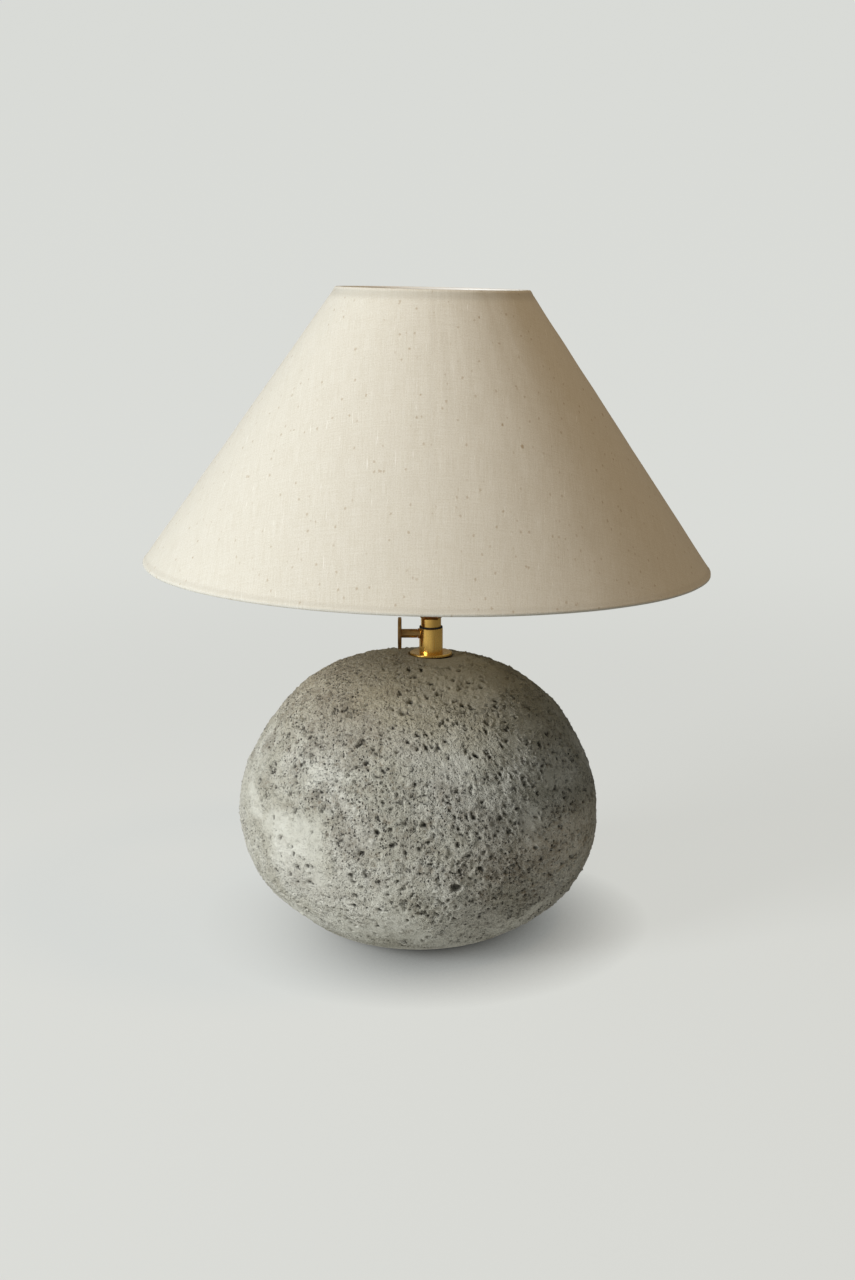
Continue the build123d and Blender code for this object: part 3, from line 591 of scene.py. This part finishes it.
shadeSet = {
    "pivot": 0.403512, "lean": 1.2, "top": 0.0540, "foot": -0.1372, "topRadius": 0.0668, "footRadius": 0.200,
    "cloth": 0.00065, "around": 288, "rows": 56, "sway": 0.00035, "slowWave": 5, "slowRise": 45,
    "quickWave": 22, "quickRise": 9, "quickShare": 0.4,
    "hem": {"wrap": 0.0016, "topThick": 0.0022, "footThick": 0.0026, "steps": 7, "out": 0.00030,
            "near": (0.0030, 0.0036, 0.0044, 0.0054, 0.0064, 0.0075, 0.0088), "plain": 0.0105,
            "topLine": 0.0030, "topRidge": 0.00016, "topWide": 0.0010,
            "footLine": 0.0036, "footRidge": 0.00014, "footWide": 0.0011,
            "turned": (0.0045, 0.0080), "turnedIn": 0.0019, "inner": 0.0095, "slack": 0.00025,
            "topMark": (0.0022, 0.0055, 0.0105), "footMark": (0.0026, 0.0045, 0.0060), "footShare": 0.45},
}
slope = (shadeSet["footRadius"] - shadeSet["topRadius"]) / (shadeSet["top"] - shadeSet["foot"])
coneTurn = math.atan(slope)
slant = (shadeSet["top"] - shadeSet["foot"]) / math.cos(coneTurn)     # from rim to rim along the cloth
shadeTilt = Matrix.Rotation(math.radians(shadeSet["lean"]), 4, "Y")
shadePlace = Matrix.Translation((0, 0, shadeSet["pivot"])) @ shadeTilt


def hemMarked(distances, start, fade, end):  # 1 where a fold doubles the cloth, 0 where it is single; this places the painted shade at the hems
    return np.where(distances > start, 1 - easing(distances, fade, end), 0.0)


def clothFrom(name, slotName, section, flatFrom, *nodeNames, wander, seed=0.0):
    # section is a closed loop of (radius, height); flatFrom gives each corner's distance along the cloth
    s = shadeSet
    around, points, count = s["around"], [], len(section)
    for i in range(around):
        turn = 2 * math.pi * i / around
        back, side = math.cos(turn), math.sin(turn)
        for radius, height in section:
            slow = Vector((back * s["slowWave"] + seed, side * s["slowWave"], height * s["slowRise"]))
            quick = Vector((back * s["quickWave"], side * s["quickWave"] + seed, height * s["quickRise"]))
            push = wander * noise.noise(slow)
            push += wander * s["quickShare"] * noise.noise(quick)
            r = radius + push
            points.append(shadePlace @ Vector((r * side, r * back, height)))
    faces = ringFaces(around, count, closed=True)
    piece = newPiece(name, points, faces, "shade", slotName, *nodeNames)
    mesh = piece.data
    layer = mesh.uv_layers.new(name="flatCloth")
    apex = s["topRadius"] / math.sin(coneTurn)
    for polygon in mesh.polygons:
        turns = [mesh.loops[k].vertex_index // count for k in polygon.loop_indices]
        wraps = max(turns) - min(turns) > around / 2
        for k, step in zip(polygon.loop_indices, turns):
            if wraps and step == 0:
                step = around                                  # the seam is at the back
            corner = mesh.loops[k].vertex_index % count
            fan = (2 * math.pi * step / around - math.pi) * math.sin(coneTurn)
            out = apex + flatFrom[corner]
            layer.data[k].uv = (out * math.sin(fan), -out * math.cos(fan))
    down = np.array(flatFrom)
    # painted shade along the hems, kept on the mesh for the cloth's finish
    hemShading = hemMarked(down, *s["hem"]["topMark"])
    hemShading += s["hem"]["footShare"] * hemMarked(slant - down, *s["hem"]["footMark"])
    mark = mesh.attributes.new("hemShade", "FLOAT", "POINT")
    mark.data.foreach_set("value", np.tile(hemShading, around).astype(np.float32))
    return piece


def onCone(along, inset):  # along is the way down the slant, inset is square to the cloth
    height = shadeSet["top"] - along * math.cos(coneTurn)
    radius = shadeSet["topRadius"] + along * math.sin(coneTurn)
    return radius - inset * math.cos(coneTurn), height - inset * math.sin(coneTurn)


def linenCover():
    s, h = shadeSet, shadeSet["hem"]
    loop, far = [], []

    def add(along, inset):
        loop.append(onCone(along, inset))
        far.append(along)

    for k in range(h["steps"] + 1):                            # over the top ring
        a = math.pi * k / h["steps"]
        add(h["wrap"] - h["wrap"] * math.sin(a), h["topThick"] * (1 - math.cos(a)) / 2)
    loop.reverse(), far.reverse()
    plain = list(np.linspace(h["plain"], slant - h["plain"], s["rows"]))
    body = list(h["near"]) + plain + [slant - a for a in reversed(h["near"])]   # close rows by each fold
    for along in body:                                         # the outside, with a low ridge at each fold
        ridge = h["topRidge"] * math.exp(-((along - h["topLine"]) / h["topWide"]) ** 2)
        ridge += h["footRidge"] * math.exp(-((along - (slant - h["footLine"])) / h["footWide"]) ** 2)
        add(along, h["out"] - ridge)
    for k in range(h["steps"] + 1):                            # round the bottom ring
        a = math.pi * k / h["steps"]
        add(slant - h["wrap"] + h["wrap"] * math.sin(a), h["footThick"] * (1 - math.cos(a)) / 2)
    for along in h["turned"]:                                  # turned up inside
        add(slant - along, h["turnedIn"])
    for along in np.linspace(slant - h["inner"], h["inner"], s["rows"] // 2):
        add(along, s["cloth"] + h["slack"])
    for along in reversed(h["turned"]):
        add(along, h["turnedIn"])
    return clothFrom("linenCover", "linen", loop, far, "shade_cloth", "top_hem", "bottom_hem",
                     wander=s["sway"])


cover = linenCover()
say("cover sewn")


liningSet = {"topShort": 0.0062, "footShort": 0.0066, "outer": 0.00105, "inner": 0.00135,
             "sway": 0.00012, "seed": 4.0}


def lining():
    g = liningSet
    rows = np.linspace(g["topShort"], slant - g["footShort"], shadeSet["rows"])
    face = [(along, g["outer"]) for along in rows] + [(along, g["inner"]) for along in rows[::-1]]
    loop = [onCone(along, inset) for along, inset in face]
    return clothFrom("liningSheet", "lining", loop, [along for along, inset in face], "shade_lining",
                     wander=g["sway"], seed=g["seed"])


backing = lining()
say("lining laid")


feltSet = {"radius": 0.0658, "thick": 0.0025, "rings": 26, "around": 160, "inner": 0.002, "edge": 0.0006,
           "edgeRise": 0.0007, "fray": 0.0003, "frayWave": 30, "tuft": 0.00012, "tuftWave": 320,
           "tuftRise": 90}


def feltFoot():
    f, points = feltSet, []
    full, thick = f["radius"], f["thick"]
    rings = np.linspace(f["inner"], full - f["inner"], f["rings"])
    run = [(r, 0.0) for r in rings]
    run += [(full - f["edge"], 0.0), (full, f["edgeRise"]), (full, thick - f["edgeRise"]),
            (full - f["edge"], thick)]
    run += [(r, thick) for r in np.linspace(full - f["inner"], f["inner"], f["rings"])]
    count = len(run)
    for i in range(f["around"]):
        turn = 2 * math.pi * i / f["around"]
        east, north = math.cos(turn), math.sin(turn)
        for radius, height in run:
            frayed = f["fray"] * (radius / full) ** 8          # only the rim frays
            r = radius + frayed * noise.noise(Vector((east * f["frayWave"], north * f["frayWave"], 1)))
            spot = Vector((r * east * f["tuftWave"], r * north * f["tuftWave"], height * f["tuftRise"]))
            tuft = f["tuft"] * noise.noise(spot)
            lift = height + tuft if height > thick / 2 else height + abs(tuft)
            points.append((stoneShape["middle"] + r * east, r * north, min(lift, thick)))
    faces = ringFaces(f["around"], count)
    faces.append(tuple(i * count for i in range(f["around"])))
    faces.append(tuple(i * count + count - 1 for i in reversed(range(f["around"]))))
    return newPiece("feltFoot", points, faces, "base", "felt", "felt_pad")


foot = feltFoot()
say("felt laid")


roomSet = {"middle": 0.001, "flat": 0.4, "floor": 1.5, "wall": 4.0, "rise": 3.2, "around": 96, "steps": 16,
           "paper": (0.110, 0.111, 0.108), "seen": (0.98, 1.0, 0.960), "outFrom": 0.5, "outFull": 1.9,
           "floorGlow": 0.592, "wallGlow": 0.666, "floorBounce": 0.46, "wallBounce": 0.16,
           "farFrom": -0.25, "farFull": 0.75, "farBounce": 0.37, "contactShade": 0.065, "contactShadeFrom": -0.15,
           "contactShadeFull": 0.0, "contactShadeLit": 0.25, "contactShadeDepth": 0.8}
lightSet = {"key": 60.0, "keyPlace": (-1.78, -1.18, 1.12), "keySize": 0.85, "keyTone": (0.93, 0.965, 1.0),
            "fill": 15.4, "fillPlace": (0.82, -0.52, 2.25), "fillSize": 0.5, "fillTone": (1.0, 0.70, 0.38),
            "aim": (0, 0, 0.25), "sky": 0.12, "skyTone": (0.95, 0.98, 1.0, 1.0)}


def makeRoom():
    r, points = roomSet, []
    profile = [(r["middle"], 0.0), (r["flat"], 0.0), (r["floor"], 0.0)]
    for k in range(1, r["steps"] + 1):
        a = math.pi / 2 * k / r["steps"]
        profile.append((r["floor"] + (r["wall"] - r["floor"]) * math.sin(a), r["rise"] * (1 - math.cos(a))))
    for i in range(r["around"]):
        turn = 2 * math.pi * i / r["around"]
        points += [(radius * math.cos(turn), radius * math.sin(turn), height) for radius, height in profile]
    inward = [(a, d, c, b) for a, b, c, d in ringFaces(r["around"], len(profile))]
    mesh = bpy.data.meshes.new("paleRoom")
    mesh.from_pydata(points, [], inward)
    mesh.shade_smooth()
    room = bpy.data.objects.new("paleRoom", mesh)
    scene.collection.objects.link(room)
    paper = Finish("palePaper", Roughness=0.95, Base_Color=(*r["paper"], 1.0), Emission_Strength=1.0)
    length = paper.add("ShaderNodeVectorMath", {"operation": "LENGTH"}, {0: paper.place})
    out = Wire(paper, length.outputs["Value"]).between(r["outFrom"], r["outFull"])
    glow = r["floorGlow"] + out * (r["wallGlow"] - r["floorGlow"])
    across = Wire(paper, paper.add("ShaderNodeSeparateXYZ", {}, {0: paper.place}).outputs[0])
    side = across.between(r["farFrom"], r["farFull"])
    bounce = r["floorBounce"] + out * (r["wallBounce"] - r["floorBounce"])
    bounce = bounce * (1 - side * (1 - r["farBounce"]))        # less light comes back from the right
    # painted contact shadow: ambient occlusion darkens the floor's glow round the base, less on the left
    contactShade = paper.add("ShaderNodeAmbientOcclusion", {"samples": 8}, {"Distance": r["contactShade"]})
    dusk = across.between(r["contactShadeFrom"], r["contactShadeFull"]) * (1 - r["contactShadeLit"]) + r["contactShadeLit"]
    near = 1 - (1 - Wire(paper, contactShade.outputs["AO"])) * dusk    # little shade on the lit side
    seen = Wire(paper, paper.add("ShaderNodeLightPath").outputs["Is Camera Ray"])
    dim = seen * (glow * near ** r["contactShadeDepth"] - bounce) + bounce   # the room looks bright, lights softly
    paper.feed(paper.shader.inputs["Emission Color"], paper.mixed(dim, (0, 0, 0), r["seen"]))
    mesh.materials.append(paper.material)


def makeLight():
    g = lightSet
    for name in ("key", "fill"):
        lamp = bpy.data.lights.new(name + "Light", "AREA")
        lamp.energy, lamp.size, lamp.color = g[name], g[name + "Size"], g[name + "Tone"]
        light = bpy.data.objects.new(name + "Light", lamp)
        light.location = g[name + "Place"]
        light.rotation_euler = (Vector(g["aim"]) - light.location).to_track_quat("-Z", "Y").to_euler()
        scene.collection.objects.link(light)
    world = bpy.data.worlds.new("paleSky")
    world.use_nodes = True
    world.node_tree.nodes["Background"].inputs["Color"].default_value = g["skyTone"]
    world.node_tree.nodes["Background"].inputs["Strength"].default_value = g["sky"]
    scene.world = world


makeRoom()
makeLight()
say("room lit")
